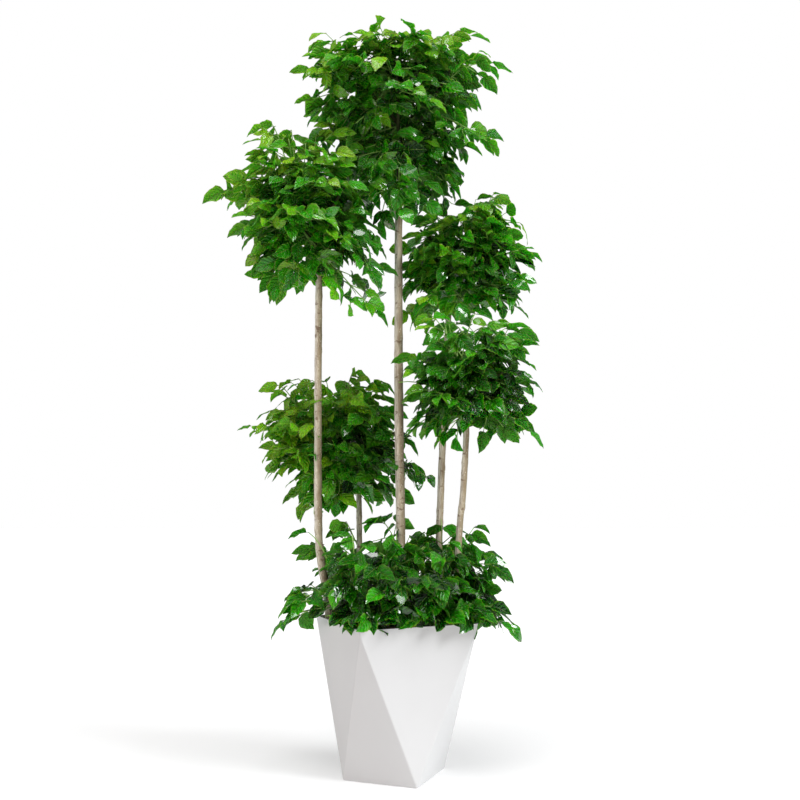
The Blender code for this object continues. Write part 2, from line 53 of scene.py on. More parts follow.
# Camera, fitted to the planter's corners in the photograph
CAMERA_AT = (0.0125, -2.600, 0.696)
CAMERA_TILT = math.radians(4.04)
CAMERA_LENS = 48.86
SENSOR = 36.0

# Studio light
ROOM_LIGHT = 0.11
KEY_DIRECTION = (-0.80, 0.43, -0.50)
KEY_STRENGTH = 2.85
KEY_SPREAD = math.radians(26)
KEY_COLOUR = (0.96, 0.98, 1.0)
OVERHEAD_DIRECTION = (0.10, 0.30, -1.0)
OVERHEAD_STRENGTH = 2.5
OVERHEAD_SPREAD = math.radians(38)
FILL_DIRECTION = (0.80, 0.90, -0.15)
FILL_STRENGTH = 0.66
FILL_SPREAD = math.radians(34)
FILL_COLOUR = (1.0, 0.79, 0.73)
FLOOR_REACH = 12.0
FLOOR_GLOW = 0.46

# Meshes: points closer than this are one, and a face whose normal rises past this is no side
WELD = 1e-6
SIDE_SLOPE = 0.9

# Planter
POT_HEIGHT = 0.350
POT_RIM_SIDE = 0.290
POT_BASE_SIDE = 0.183
POT_TURN = math.radians(23.3)
POT_WALL = 0.0065
POT_FLOOR = 0.012
POT_ROUNDING = 0.0032
POT_INNER_ROUNDING = 0.0030
RIM_ROUNDING = 0.0018
ROUNDING_STEPS = 4
RIM_STEPS = 3
FOLD_ANGLE = math.radians(32)

# Soil
SOIL_TOP = POT_HEIGHT - 0.030
SOIL_HEAP = 0.010
SOIL_HEAP_REACH = 0.15
SOIL_LUMP_SCALE = 38.0
SOIL_LUMP_HEIGHT = 0.0035
SOIL_GRAIN_SCALE = 150.0
SOIL_GRAIN_HEIGHT = 0.0016
SOIL_GRID = 0.21
SOIL_CELLS = 70
SOIL_CLEARANCE = 0.0008
SOIL_DEPTH = 0.040
SOIL_NARROWING = 0.94
SOIL_SEED = 5
SOIL_CRUMBS = 520
CRUMB_SPREAD = 0.132
CRUMB_SIZE = (0.0012, 0.0042)
CRUMB_TURN = 6.28
CRUMB_LENGTH = (0.7, 1.5)
CRUMB_HEIGHT = (0.5, 0.9)
CRUMB_LIFT = 0.2

# Woody stems, as in the part's source: their radii, and their points from the soil up
Stem = namedtuple("Stem", "name foot_radius top_radius buried route")
STEMS = [
    Stem("stem_top", 0.0105, 0.0085, (0.015, 0.020, 0.17),
         [(0.015, 0.020), (0.014, 0.020, 0.58), (0.010, 0.020, 0.84), (0.009, 0.021, 1.10),
          (0.009, 0.024, 1.32), (0.010, 0.030, 1.40)]),
    Stem("stem_left", 0.0100, 0.0080, (-0.128, 0.050, 0.235),
         [(-0.156, 0.060), (-0.167, 0.056, 0.425), (-0.178, 0.049, 0.49), (-0.184, 0.038, 0.56),
          (-0.184, 0.000, 0.77), (-0.182, -0.030, 1.00), (-0.180, -0.050, 1.17), (-0.183, -0.054, 1.22)]),
    Stem("stem_right_upper", 0.0085, 0.0070, (0.096, 0.072, 0.21),
         [(0.101, 0.079), (0.110, 0.088, 0.58), (0.119, 0.090, 0.80), (0.128, 0.090, 1.00),
          (0.137, 0.090, 1.15)]),
    Stem("stem_right_lower", 0.0085, 0.0070, (0.130, -0.028, 0.21),
         [(0.138, -0.030), (0.153, -0.035, 0.58), (0.160, -0.041, 0.65), (0.167, -0.050, 0.77),
          (0.168, -0.056, 0.82)]),
    Stem("stem_left_lower", 0.0080, 0.0065, (-0.084, 0.070, 0.22),
         [(-0.088, 0.078), (-0.087, 0.090, 0.50), (-0.088, 0.100, 0.56), (-0.090, 0.112, 0.67)]),
]

# How much a stem swells halfway up, and how much painted light brightens its bark
STEM_SWELL = {"stem_top": 0.0013, "stem_right_upper": 0.0005}
STEM_PAINTED_LIGHT = {"stem_left_lower": 0.45, "stem_right_upper": 0.20}
STEM_SEED = 90
STEM_SIDES = 20
STEM_STEP = 0.006
STEM_AXIS = 1e-4
STEM_SMOOTHING = 8
FORK_SMOOTHING = 2
SIGHT_SMOOTHING = 12
BARK_ACROSS = 90
BARK_ALONG = 22
BARK_RELIEF = 0.0007
# The way each stem's bark faces to get painted light; the far side gets painted shade
PAINTED_LIGHT_SIDE = Vector((-0.94, -0.34, 0.0))

# Leaf scars on the stems
KNOT_FIRST = 0.03
KNOT_SPACING = 0.045
KNOT_GAPS = (0.6, 1.5)
KNOT_TURNS = (70, 200)
KNOT_SIZES = (0.5, 1.0)
KNOT_HEIGHT = 0.0016
KNOT_LENGTH = 0.006
KNOT_RANGE = 0.02
KNOT_ALL_ROUND = 0.25

# Leafy heads, as in the part's source. reach is how far the form goes sideways, back, up and down, powers how
# square it is above and below, lowest the angle from its top to its last leaf, and tips the leaves that stand
# out. fillers lie further in. tone sets the leaflets' age and painted light, the next field how much lighter
# they get upwards, by age and painted light, the next how much lighter to the left, by painted light, and
# blade their size
Crown = namedtuple("Crown", "name stem centre reach powers lean leaves limbs lowest seed tips fillers tone"
                            " upward leftward blade")
CROWNS = [
    Crown("crown_top", "stem_top", (0.004, 0.030, 1.690),
          (0.270, 0.245, 0.106, 0.500), (2.3, 1.8), 0.00, 16, 5, 146, 11,
          ((0.280, 0.000, 1.701), (0.228, 0.050, 1.792), (0.260, -0.060, 1.466), (-0.255, 0.000, 1.684),
           (-0.242, -0.050, 1.581), (-0.219, 0.060, 1.781), (-0.072, 0.020, 1.811), (-0.010, 0.030, 1.812),
           (0.038, 0.080, 1.828), (0.109, 0.100, 1.797), (0.173, 0.000, 1.414), (0.155, 0.030, 1.373),
           (0.107, 0.050, 1.353), (-0.045, -0.030, 1.274), (0.027, -0.060, 1.306)),
          54, 0.74, 0.54, 0.24, 1.03),
    Crown("crown_left", "stem_left", (-0.222, -0.040, 1.345),
          (0.226, 0.205, 0.212, 0.285), (1.6, 1.9), -0.20, 8, 4, 146, 23,
          ((-0.450, -0.050, 1.364), (-0.315, -0.040, 1.565), (-0.393, -0.060, 1.268), (-0.307, -0.030, 1.105),
           (-0.224, -0.060, 1.138), (-0.106, -0.040, 1.127), (-0.016, -0.080, 1.050), (0.001, -0.020, 1.140),
           (-0.002, -0.030, 1.216), (-0.026, -0.040, 1.262), (-0.188, 0.000, 1.551), (-0.259, 0.030, 1.566),
           (-0.358, -0.080, 1.187), (-0.195, -0.235, 1.282)),
          38, 0.81, 0.38, 0.40, 1.03),
    Crown("crown_right_upper", "stem_right_upper", (0.172, 0.090, 1.235),
          (0.212, 0.180, 0.205, 0.230), (2.1, 2.2), 0.00, 5, 3, 145, 37,
          ((0.377, 0.080, 1.238), (0.359, 0.090, 1.322), (0.267, 0.120, 1.411), (0.210, 0.100, 1.409),
           (0.152, 0.060, 1.365), (0.326, 0.060, 1.089), (-0.007, 0.060, 1.254), (0.003, 0.060, 1.174),
           (-0.002, 0.030, 1.065)),
          32, 0.72, 0.20, 0.30, 1.03),
    Crown("crown_right_lower", "stem_right_lower", (0.184, -0.070, 0.905),
          (0.182, 0.170, 0.230, 0.165), (2.1, 2.3), 0.00, 5, 3, 145, 41,
          ((0.356, -0.060, 0.784), (0.363, -0.090, 0.899), (0.313, -0.050, 1.047), (0.287, -0.030, 0.776),
           (0.086, -0.090, 0.757), (0.017, -0.060, 0.789), (-0.038, -0.100, 0.898), (0.013, -0.060, 0.986),
           (0.201, -0.060, 1.093), (0.263, -0.030, 1.076)),
          28, 0.46, 0.20, 0.15, 1.00),
    Crown("crown_left_lower", "stem_left_lower", (-0.144, 0.120, 0.790),
          (0.238, 0.195, 0.218, 0.262), (2.1, 2.2), -0.14, 6, 4, 140, 53,
          ((-0.406, 0.120, 0.810), (-0.317, 0.140, 0.935), (-0.349, 0.140, 0.867), (-0.337, 0.080, 0.690),
           (-0.235, 0.100, 0.592), (-0.142, 0.040, 0.613), (-0.051, 0.060, 0.613), (0.032, 0.070, 0.634),
           (0.117, 0.100, 0.668), (-0.096, 0.120, 0.976), (-0.023, 0.120, 0.951)),
          38, 0.98, 0.35, 0.85, 1.03),
]
FILLER_REACHES = (0.86, 0.68)
FILLER_SEED = 7
HEAD_SEEDS = 10000
LEAF_SEEDS = 100
DRAW_SEEDS = 7

# Low shoots, as in the part's source
SHOOT_RADIUS = 0.0035
SHOOT_BURIED = 0.060
SHOOT_SHARING = 0.02
SHOOT_STEPS = 3
SHOOT_SMOOTHING = 3
SHOOTS = [
    ((-0.075, -0.105), (-0.110, -0.120, 0.415)),
    ((0.005, -0.100), (0.010, -0.130, 0.430)),
    ((0.085, -0.055), (0.120, -0.110, 0.425)),
    ((0.100, 0.030), (0.165, 0.030, 0.430)),
    ((0.040, 0.105), (0.060, 0.140, 0.440)),
    ((-0.045, 0.120), (-0.080, 0.160, 0.420)),
    ((-0.110, 0.000), (-0.150, -0.020, 0.430)),
]
BUSH = Crown("low_shoot", "", (0.003, 0.000, 0.400),
             (0.272, 0.240, 0.240, 0.170), (2.2, 2.3), 0.00, 10, 0, 112, 67,
             ((-0.305, -0.030, 0.332), (-0.258, 0.000, 0.416), (-0.233, 0.050, 0.569), (-0.142, 0.040, 0.592),
              (-0.055, 0.040, 0.604), (0.003, 0.000, 0.572), (0.110, 0.050, 0.613), (0.134, -0.090, 0.565),
              (0.212, 0.050, 0.589), (0.255, 0.050, 0.519), (0.255, 0.000, 0.475), (0.280, -0.020, 0.367),
              (0.309, -0.030, 0.322), (0.017, -0.230, 0.458)),
             50, 0.10, 0.40, 0.10, 1.10)

# No leaflet hides a stem from the front between these heights
IN_SIGHT = [("stem_top", 0.585, 0.980), ("stem_top", 1.040, 1.310), ("stem_left", 0.405, 1.150),
            ("stem_right_upper", 0.600, 0.760), ("stem_right_lower", 0.600, 0.750),
            ("stem_left_lower", 0.560, 0.640)]
SIGHT_MARGIN = 0.012

# Nor does any hang over the planter's front, or a little higher over its left corner
RIM_CLEAR = 0.372
RIM_SPAN = (-0.200, 0.160)
RIM_DROOP = 0.010
CORNER_CLEAR = 0.392
CORNER_SPAN = (-0.195, -0.128)
CORNER_FRONT = 0.06

# No leaf's tip lies above this slope from the camera
TOP_SLOPE = 0.430

# Compound leaf: its leaflets' spacing, its pairs' places from its tip in such spacings, and its arch
LEAFLET_SHARE = 0.42
LEAFLET_MIN = 0.056
LEAFLET_MAX = 0.094
BRANCH_SPREAD = math.radians(58)
PAIR_AT = (1.80, 1.27)
TIP_PAIR_AT = 0.74
LEAF_ARCH = (0.20, 0.34)
LEAF_LEAN = 0.42
LEAF_CLIMB = 0.72
LIFT_BY_LENGTH = 0.4
LIFT_BY_REACH = 0.6
HIGHEST = 0.93
LEAF_ROLL = math.radians(24)
LEAF_FILL = (0.86, 1.06)
LEAF_JITTER = 0.3
LEAF_SINK = 0.5
LEAF_SPAN = 0.185
LEAF_SPAN_MIN = 0.135
SHORT_PENALTY = 3.0
STALK_FOOT = 0.0018
STALK_TIP = 0.0010
STALK_STEPS = 7
BRANCH_RADIUS = 0.0012
BRANCH_DROOP = 0.12
BRANCH_SHARE = 0.78
BRANCH_PAIR_AT = 0.58
BRANCH_ELBOW = 0.55
BRANCH_ELBOW_DROOP = 0.3
BRANCH_TAPER = (1.2, 0.8)

# Leaflets: real lengths, and the form of a blade along its length
BLADE_LENGTH = (0.040, 0.068)
BLADE_WIDTH = 0.276
BLADE_FOOT = 0.09
BLADE_STATIONS = (0.0, 0.09, 0.16, 0.28, 0.41, 0.54, 0.67, 0.79, 0.90, 1.0)
BLADE_TEETH = 0.045
BLADE_FULLNESS = 0.70
FOOT_ROUNDNESS = 0.72
TIP_ROUNDNESS = 0.80
FOOT_WIDTH = 0.012
TIP_WIDTH = 0.004
BLADE_FOLD = (0.22, 0.85)
BLADE_CUP = 1.3
BLADE_BEND = (0.30, 1.00)
BLADE_TWIST = 0.45
BLADE_WAVES = (1.5, 2.6)
BLADE_RIPPLE = 0.035
RIPPLE_END = 0.95
BLADE_COLUMNS = 4
BLADE_THICKNESS = 0.008
BLADE_WELD = 1e-5
BLADE_EDGE = math.radians(100)
BLADE_VARIANTS = 8
BLADE_SEED = 300

# How a leaflet hangs: its droop, sway, turn, and which way its face looks
BLADE_DROOP = (-0.10, 0.35)
BLADE_FLATTEN = 1.0
BLADE_SWAY = 0.20
BLADE_OUTWARD = 0.35
BLADE_ROLL = 0.60
BLADE_REACH = 0.044
BLADE_WIDENING = (0.90, 1.12)
FACE_BY_STALK = 0.35
FACE_UP = (0.55, 0.45)
FACE_OUT = (0.7, 0.25)

# How much younger and lighter a leaflet is further out, by age and painted light, how much darker further in,
# by age and painted shade, and how leaflets differ by chance
AGE_AND_SHADE_BY_DEPTH = 0.90
AGE_AND_SHADE_DEPTH = 0.85
AGE_SPREAD = 0.14

# Wood inside the heads, and the points of it that bear no leaf
LIMB_FOOT = 0.0050
LIMB_TIP = 0.0028
LEADER_REACH = 0.30
LEADER_FOOT = 0.010
LEADER_STEPS = 4
LEADER_BARE = 6
LIMB_FIRST = 0.12
LIMB_RANGE = 0.5
LIMB_REACH = 0.55
LIMB_LIFTS = (-0.10, 0.125, 0.35)
LIMB_ARCH = 0.015
LIMB_STEPS = 3
LIMB_BARE = 2
LIMB_SMOOTHING = 4


# Shader expressions

def feed(tree, source, socket):
    """Link a value to a socket, or set the socket to a number or a colour."""
    if isinstance(source, Value):
        tree.links.new(source.socket, socket)
    else:
        socket.default_value = source


class Value:
    """A node's output in an expression: each operator adds the Math node that works it out."""

    def __init__(self, tree, socket):
        self.tree = tree
        self.socket = socket

    def math(self, operation, *terms):
        node = self.tree.nodes.new("ShaderNodeMath")
        node.operation = operation
        for term, socket in zip(terms, node.inputs):
            feed(self.tree, term, socket)
        return Value(self.tree, node.outputs[0])

    def __add__(self, other):
        return self.math("ADD", self, other)

    def __radd__(self, other):
        return self.math("ADD", other, self)

    def __sub__(self, other):
        return self.math("SUBTRACT", self, other)

    def __rsub__(self, other):
        return self.math("SUBTRACT", other, self)

    def __mul__(self, other):
        return self.math("MULTIPLY", self, other)

    def __truediv__(self, other):
        return self.math("DIVIDE", self, other)

    def __abs__(self):
        return self.math("ABSOLUTE", self)

    def fraction(self):
        return self.math("FRACT", self)

    def sine(self):
        return self.math("SINE", self)

    def limited(self):
        """The value held between 0 and 1."""
        return self.math("MINIMUM", self.math("MAXIMUM", self, 0.0), 1.0)

    def band(self, middle, width):
        """1 where the value is the middle, falling to 0 at the width on either side."""
        return (1.0 - abs(self - middle) / width).limited()

    def above(self, edge, softness):
        """0 below the edge, rising to 1 over the softness."""
        return ((self - edge) / softness).limited()


class Finish:
    """A material under construction around one Principled shader."""

    def __init__(self, name, **constants):
        self.material = bpy.data.materials.new(name)
        self.material.use_nodes = True
        self.tree = self.material.node_tree
        self.shader = self.tree.nodes["Principled BSDF"]
        for socket, value in constants.items():
            self.shader.inputs[socket.replace("_", " ")].default_value = value

    def node(self, kind, settings=(), sockets=(), output=0):
        """Add a node, with its settings set before its sockets, and return one of its outputs."""
        node = self.tree.nodes.new(kind)
        for name, value in dict(settings).items():
            setattr(node, name, value)
        for name, value in dict(sockets).items():
            feed(self.tree, value, node.inputs[name])
        return Value(self.tree, node.outputs[output])

    def place(self, scale):
        """Object coordinates in metres, stretched by the scale."""
        here = self.node("ShaderNodeTexCoord", output="Object")
        return self.node("ShaderNodeMapping", {"vector_type": "POINT"}, {"Vector": here, "Scale": scale})

    def speckle(self, scale, detail=3.0, stretch=(1.0, 1.0, 1.0)):
        """Noise from 0 to 1, finer where the stretch is larger."""
        sockets = {"Vector": self.place(stretch), "Scale": scale, "Detail": detail,
                   "Roughness": SPECKLE_ROUGHNESS}
        return self.node("ShaderNodeTexNoise", {"noise_dimensions": "3D"}, sockets)

    def mix(self, factor, first, second):
        """A colour between two colours."""
        node = self.tree.nodes.new("ShaderNodeMix")
        node.data_type = "RGBA"
        feed(self.tree, factor, node.inputs[0])
        for colour, socket in ((first, node.inputs[6]), (second, node.inputs[7])):
            feed(self.tree, colour if isinstance(colour, Value) else (*colour, 1.0), socket)
        return Value(self.tree, node.outputs[2])

    def bump(self, height, strength, distance):
        """A relief of the height's pattern, which rises by the distance in metres."""
        sockets = {"Height": height, "Strength": strength, "Distance": distance}
        self.drive("Normal", self.node("ShaderNodeBump", (), sockets, "Normal"))

    def drive(self, socket, value):
        feed(self.tree, value, self.shader.inputs[socket])


# Finishes

SPECKLE_ROUGHNESS = 0.55
# Fresh and deep greens: the leaflets' age, and also painted light on outer and upper leaflets and painted
# shade on inner ones
LEAF_FRESH_AND_LIT = (0.230, 0.560, 0.001)
LEAF_MID = (0.036, 0.395, 0.001)
LEAF_DEEP = (0.001, 0.028, 0.001)
# The underside's pale green, brightened as painted light shining through the blade
LEAF_UNDER_LIT = (0.100, 0.300, 0.012)
VEIN_PALE = (0.420, 0.680, 0.130)
VEIN_PAIRS = 6.0
VEIN_SLANT = 1.7
VEIN_WIDTH = 0.10
MIDRIB_WIDTH = 0.09
MARGIN_EDGE = (0.88, 0.12)
LEAF_RELIEF = 0.0038
STALK_GREEN = (0.120, 0.330, 0.030)
STALK_PALE = (0.360, 0.570, 0.140)
BARK_BROWN = (0.380, 0.285, 0.180)
BARK_BEIGE = (0.720, 0.625, 0.465)
# Painted shade and painted light for the two sides of each stem
BARK_PAINTED_SHADE = (0.180, 0.155, 0.085)
BARK_PAINTED_LIGHT = (0.880, 0.850, 0.740)
BARK_STREAK = (0.285, 0.205, 0.130)
BARK_SCAR = (0.190, 0.120, 0.070)
BARK_PORE = (0.760, 0.690, 0.560)
# Young wood's green and brown, darkened as painted shade inside the heads
YOUNG_GREEN_SHADED = (0.014, 0.026, 0.006)
YOUNG_BROWN_SHADED = (0.055, 0.060, 0.020)
PLANTER_WHITE = (0.575, 0.572, 0.571)
PLANTER_PALE = (0.610, 0.608, 0.608)
SOIL_DARK = (0.018, 0.011, 0.007)
SOIL_BROWN = (0.062, 0.040, 0.024)
SOIL_FIBRE = (0.180, 0.115, 0.060)
FLOOR_GREYS = ((0.54, 0.54, 0.54), (0.56, 0.56, 0.56))


def leaf_finish():
    """Glossy blades: green by age and by painted light and shade, pale veins, quilted between them, and a
    paler dull underside that painted light shining through brightens.

    The tint attribute holds a leaflet's own draw, its age with its painted light and shade, and 1 on its
    underside.
    """
    finish = Finish("leaf_blade", IOR=1.45, Specular_IOR_Level=0.45, Coat_Roughness=0.08, Coat_IOR=1.7,
                    Subsurface_Weight=0.4, Subsurface_Radius=(0.25, 1.0, 0.05), Subsurface_Scale=0.004)
    tint = finish.node("ShaderNodeAttribute", {"attribute_name": "tint"}, output="Color")
    split = finish.node("ShaderNodeSeparateColor", (), {"Color": tint}, "Red")
    parts = split.socket.node.outputs
    own, age_and_light, under = split, Value(finish.tree, parts["Green"]), Value(finish.tree, parts["Blue"])
    uv = finish.node("ShaderNodeUVMap", {"uv_map": "blade"})
    across_raw = finish.node("ShaderNodeSeparateXYZ", (), {"Vector": uv}, "X")
    along = Value(finish.tree, across_raw.socket.node.outputs["Y"])
    across = abs(across_raw - 0.5) * 2.0

    midrib = across.band(0.0, MIDRIB_WIDTH)
    margin = across.above(*MARGIN_EDGE)
    phase = (along * VEIN_PAIRS - across * VEIN_SLANT).fraction()
    vein = abs(phase - 0.5).band(0.0, VEIN_WIDTH) * (1.0 - across * 0.7)
    quilt = (phase * (2.0 * math.pi)).sine()
    blotch = finish.speckle(55.0)

    # Age with painted light and shade: lighter greens where painted light falls, darker where painted shade
    # falls
    young_and_lit = (age_and_light + (blotch - 0.5) * 0.40 + (own - 0.5) * 0.60).limited()
    green = finish.mix(young_and_lit.above(0.0, 0.5), LEAF_DEEP, LEAF_MID)
    green = finish.mix(young_and_lit.above(0.5, 0.5), green, LEAF_FRESH_AND_LIT)
    green = finish.mix((quilt * 0.5 - 0.1).limited() * (0.9 - young_and_lit * 0.6), green, LEAF_DEEP)
    line = (midrib * 0.7 + vein * 0.4) * (0.35 + age_and_light * 0.65) + margin * age_and_light * 0.6
    green = finish.mix(line.limited(), green, VEIN_PALE)
    # Paler underside, partly its own colour and partly painted light shining through
    green = finish.mix(under * 0.5, green, LEAF_UNDER_LIT)
    finish.drive("Base Color", green)
    finish.drive("Roughness", 0.17 + under * 0.4 + young_and_lit * 0.20 + (blotch - 0.5) * 0.20)
    finish.drive("Coat Weight", (1.0 - under) * own.above(0.20, 0.2) * (1.0 - young_and_lit * 0.8))
    finish.bump(quilt * 0.6 - vein - midrib * 1.2 + blotch * 1.4, 1.0, LEAF_RELIEF)
    return finish.material


def stalk_finish():
    """Pale yellow-green leaf stalks."""
    finish = Finish("leaf_stalk", Roughness=0.42, IOR=1.45)
    patch = finish.speckle(30.0)
    finish.drive("Base Color", finish.mix(patch, STALK_GREEN, STALK_PALE))
    return finish.material


def bark_finish():
    """Pale grey-beige bark with fine upright streaks, brown leaf scars and small pale pores, with painted
    light on each stem's left front and painted shade towards its right and back.
    """
    finish = Finish("stem_bark", Roughness=0.82, IOR=1.4)
    streak = finish.speckle(420.0, 4.0, (1.0, 1.0, 0.08))
    patch = finish.speckle(38.0, 5.0, (1.0, 1.0, 0.45))
    scars = finish.speckle(62.0, 2.0, (1.0, 1.0, 1.6))
    pores = finish.node("ShaderNodeTexVoronoi", {"feature": "F1"},
                        {"Vector": finish.place((1.0, 1.0, 0.55)), "Scale": 210.0}, "Distance")
    colour = finish.mix(patch.above(0.36, 0.26), BARK_BROWN, BARK_BEIGE)
    # Painted shade where the bark faces away from the painted light's side, painted light where it faces it
    side = finish.node("ShaderNodeAttribute", {"attribute_name": "side"}, output="Fac")
    colour = finish.mix((0.5 - side * 0.8).limited() * 0.9, colour, BARK_PAINTED_SHADE)
    colour = finish.mix((side * 1.3 - 0.35).limited() * 0.9, colour, BARK_PAINTED_LIGHT)
    colour = finish.mix(streak.above(0.44, 0.18) * 0.6, colour, BARK_STREAK)
    colour = finish.mix(scars.above(0.60, 0.08) * 0.8, colour, BARK_SCAR)
    colour = finish.mix((1.0 - pores.above(0.12, 0.10)) * 0.75, colour, BARK_PORE)
    finish.drive("Base Color", colour)
    finish.bump(streak * 0.6 + patch * 0.5 - scars.above(0.62, 0.06) * 0.5, 0.55, 0.0012)
    return finish.material


def limb_finish():
    """Young wood inside the heads: green turning to brown, darkened as painted shade of the heads' inside."""
    finish = Finish("young_wood", Roughness=0.65, Specular_IOR_Level=0.1)
    streak = finish.speckle(160.0, 3.0, (1.0, 1.0, 0.2))
    finish.drive("Base Color", finish.mix(streak, YOUNG_GREEN_SHADED, YOUNG_BROWN_SHADED))
    finish.bump(streak, 0.4, 0.0008)
    return finish.material


def planter_finish():
    """Satin white moulded plastic with a very slight orange peel."""
    finish = Finish("white_planter", IOR=1.46)
    peel = finish.speckle(320.0, 2.0)
    haze = finish.speckle(9.0, 4.0)
    finish.drive("Base Color", finish.mix(haze, PLANTER_WHITE, PLANTER_PALE))
    finish.drive("Roughness", 0.36 + (haze - 0.5) * 0.14)
    finish.bump(peel, 0.12, 0.0004)
    return finish.material


def soil_finish():
    """Dark damp potting mix with lighter fibres and bits."""
    finish = Finish("potting_soil", Roughness=0.95)
    grain = finish.speckle(260.0, 6.0)
    patch = finish.speckle(45.0, 4.0)
    fibre = finish.speckle(240.0, 2.0, (1.0, 0.16, 1.0))
    colour = finish.mix(patch, SOIL_DARK, SOIL_BROWN)
    colour = finish.mix(fibre.above(0.62, 0.08) * 0.7, colour, SOIL_FIBRE)
    finish.drive("Base Color", colour)
    finish.bump(grain, 0.9, 0.003)
    return finish.material


def floor_finish():
    """A plain pale floor that glows a little, so that the shadows on it stay faint."""
    finish = Finish("pale_floor", Roughness=0.7, Emission_Color=(1.0, 1.0, 1.0, 1.0),
                    Emission_Strength=FLOOR_GLOW)
    cloud = finish.speckle(1.4)
    finish.drive("Base Color", finish.mix(cloud, *FLOOR_GREYS))
    return finish.material


# Pieces

def placed(name, data):
    """A new object in the scene."""
    thing = bpy.data.objects.new(name, data)
    bpy.context.scene.collection.objects.link(thing)
    return thing


def finished_piece(name, mesh, material, slot, *nodes):
    """Put a mesh in the scene as a piece that rides on the plant and may stand for CAD nodes."""
    mesh.name = name
    mesh.materials.append(material)
    mesh.shade_smooth()
    piece = placed(name, mesh)
    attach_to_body(piece, "root")
    if nodes:
        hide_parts(*nodes)
    return piece


def mesh_from(bm, name):
    mesh = bpy.data.meshes.new(name)
    bm.to_mesh(mesh)
    bm.free()
    return mesh


def tube_mesh(name, routes, resolution):
    """Round tapered bars along routes of (point, radius), as one mesh with closed ends."""
    curve = bpy.data.curves.new(name, "CURVE")
    curve.dimensions = "3D"
    curve.bevel_depth = 1.0
    curve.bevel_resolution = resolution
    curve.use_fill_caps = True
    for route in routes:
        spline = curve.splines.new("POLY")
        spline.points.add(len(route) - 1)
        for knot, (point, radius) in zip(spline.points, route):
            knot.co = (*point, 1.0)
            knot.radius = radius
    drawn = placed(name, curve)
    depsgraph = bpy.context.evaluated_depsgraph_get()
    mesh = bpy.data.meshes.new_from_object(drawn.evaluated_get(depsgraph), depsgraph=depsgraph)
    bpy.data.objects.remove(drawn, do_unlink=True)
    bm = bmesh.new()
    bm.from_mesh(mesh)
    bmesh.ops.remove_doubles(bm, verts=bm.verts, dist=WELD)
    bmesh.ops.recalc_face_normals(bm, faces=bm.faces)
    bm.to_mesh(mesh)
    bm.free()
    return mesh


# Planter and soil

def planter_form(rim_side, base_side, low, high):
    """A four-sided frustum whose top is turned 45 degrees, so each side folds into two triangles."""
    bm = bmesh.new()
    bmesh.ops.create_cone(bm, cap_ends=True, segments=4, radius1=base_side / math.sqrt(2.0),
                          radius2=rim_side / math.sqrt(2.0), depth=high - low)
    bmesh.ops.translate(bm, verts=bm.verts, vec=(0.0, 0.0, (low + high) / 2.0))
    rim = [vert for vert in bm.verts if vert.co.z > (low + high) / 2.0]
    columns = {vert: next(edge.other_vert(vert) for edge in vert.link_edges
                          if edge.other_vert(vert) not in rim) for vert in rim}
    bmesh.ops.rotate(bm, verts=rim, cent=(0, 0, 0), matrix=Matrix.Rotation(math.radians(45), 3, "Z"))
    for face in [face for face in bm.faces if abs(face.normal.z) < SIDE_SLOPE]:
        top = [vert for vert in face.verts if vert in rim]
        diagonals = [(top[0], columns[top[1]]), (top[1], columns[top[0]])]
        start, end = min(diagonals, key=lambda pair: (pair[0].co - pair[1].co).length)
        bmesh.utils.face_split(face, start, end)
    bmesh.ops.rotate(bm, verts=bm.verts, cent=(0, 0, 0), matrix=Matrix.Rotation(POT_TURN, 3, "Z"))
    return bm


def round_edges(bm, edges, radius, steps):
    bmesh.ops.bevel(bm, geom=edges, offset=radius, offset_type="OFFSET", segments=steps, profile=0.5,
                    affect="EDGES", material=-1, clamp_overlap=True)


def rounded_planter_shell(rim_side, base_side, low, high, rounding):
    """The planter form with rounded folds and an open top."""
    bm = planter_form(rim_side, base_side, low, high)
    lid = max(bm.faces, key=lambda face: face.calc_center_median().z)
    bmesh.ops.delete(bm, geom=[lid], context="FACES_ONLY")
    folds = [edge for edge in bm.edges if len(edge.link_faces) == 2]
    round_edges(bm, folds, rounding, ROUNDING_STEPS)
    return bm


def make_planter(material):
    """The outer and inner shells, joined across a rounded rim."""
    bm = rounded_planter_shell(POT_RIM_SIDE, POT_BASE_SIDE, 0.0, POT_HEIGHT, POT_ROUNDING)
    inside = rounded_planter_shell(POT_RIM_SIDE - 2 * POT_WALL, POT_BASE_SIDE - 2 * POT_WALL, POT_FLOOR,
                                   POT_HEIGHT, POT_INNER_ROUNDING)
    bm.from_mesh(mesh_from(inside, "planter_inside"))
    rims = [edge for edge in bm.edges if len(edge.link_faces) == 1]
    bmesh.ops.bridge_loops(bm, edges=rims)
    round_edges(bm, rims, RIM_ROUNDING, RIM_STEPS)
    bmesh.ops.recalc_face_normals(bm, faces=bm.faces)
    piece = finished_piece("planter", mesh_from(bm, "planter"), material, "planter", "pot")
    piece.data.set_sharp_from_angle(angle=FOLD_ANGLE)


def soil_height(x, y):
    """The soil's surface: a low heap in the middle, lumps and crumbs."""
    heap = SOIL_HEAP * max(0.0, 1.0 - (math.hypot(x, y) / SOIL_HEAP_REACH) ** 2)
    lumps = noise.noise(Vector((x, y, 0.0)) * SOIL_LUMP_SCALE) * SOIL_LUMP_HEIGHT
    grains = noise.noise(Vector((x, y, 3.0)) * SOIL_GRAIN_SCALE) * SOIL_GRAIN_HEIGHT
    return SOIL_TOP + heap + lumps + grains


